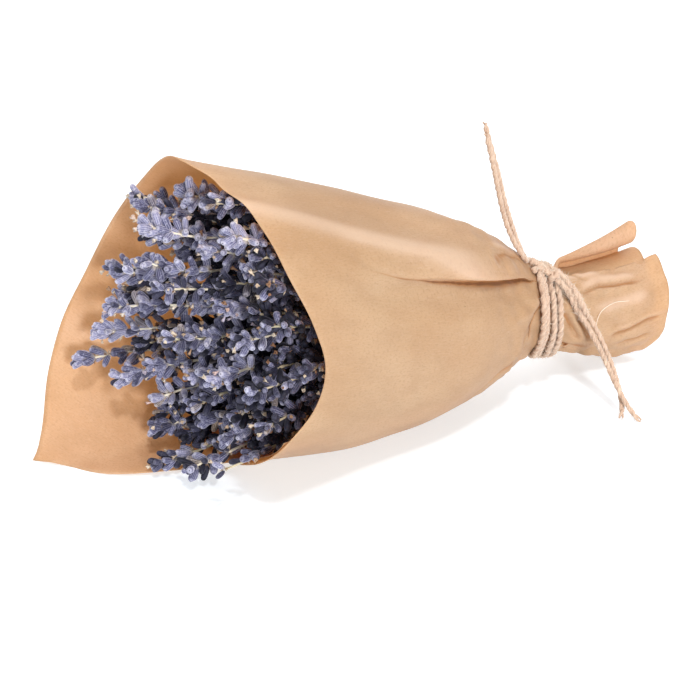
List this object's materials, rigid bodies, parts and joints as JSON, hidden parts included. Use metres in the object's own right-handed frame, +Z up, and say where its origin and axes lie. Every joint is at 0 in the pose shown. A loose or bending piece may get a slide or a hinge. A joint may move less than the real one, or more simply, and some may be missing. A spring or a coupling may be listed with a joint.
{
  "type": "bunch of dried lavender in a paper wrap",
  "caption": "Dried lavender stalks rolled in a cone of kraft paper, tied at the waist with jute twine, lying on its side.",
  "frame": {"origin": "middle of the base, on the surface it lies on, measured without the loose twine ends", "axes": "+Z up; -X towards the flower heads and the mouth of the paper, +X towards the cut ends"},
  "size_m": [0.313, 0.1404, 0.1474],
  "materials": {
    "kraft_paper": "matt, fibrous paper",
    "jute_twine": "rough, hairy twist",
    "straw_stalk": "dry, matt straw",
    "lavender_flower": "dry, downy, matt"
  },
  "bodies": {
    "root": {"paper_wrap": "kraft_paper", "spike_01": "lavender_flower", "spike_02": "lavender_flower", "spike_03": "lavender_flower", "spike_04": "lavender_flower", "spike_05": "lavender_flower", "spike_06": "lavender_flower", "spike_07": "lavender_flower", "spike_08": "lavender_flower", "spike_09": "lavender_flower", "spike_10": "lavender_flower", "spike_11": "lavender_flower", "spike_12": "lavender_flower", "spike_13": "lavender_flower", "spike_14": "lavender_flower", "spike_15": "lavender_flower", "spike_16": "lavender_flower", "spike_17": "lavender_flower", "spike_18": "lavender_flower", "spike_19": "lavender_flower", "spike_20": "lavender_flower", "spike_21": "lavender_flower", "spike_22": "lavender_flower", "spike_23": "lavender_flower", "spike_24": "lavender_flower", "spike_25": "lavender_flower", "spike_26": "lavender_flower", "spike_27": "lavender_flower", "spike_28": "lavender_flower", "spike_29": "lavender_flower", "spike_30": "lavender_flower", "spike_31": "lavender_flower", "spike_32": "lavender_flower", "spike_33": "lavender_flower", "spike_34": "lavender_flower", "spike_35": "lavender_flower", "spike_36": "lavender_flower", "spike_37": "lavender_flower", "spike_38": "lavender_flower", "spike_39": "lavender_flower", "spike_40": "lavender_flower", "spike_41": "lavender_flower", "spike_42": "lavender_flower", "stems": "straw_stalk", "twine_end_lower_a": "jute_twine", "twine_end_lower_b": "jute_twine", "twine_end_upper_a": "jute_twine", "twine_end_upper_b": "jute_twine", "twine_tie": "jute_twine"}
  },
  "joints": []
}
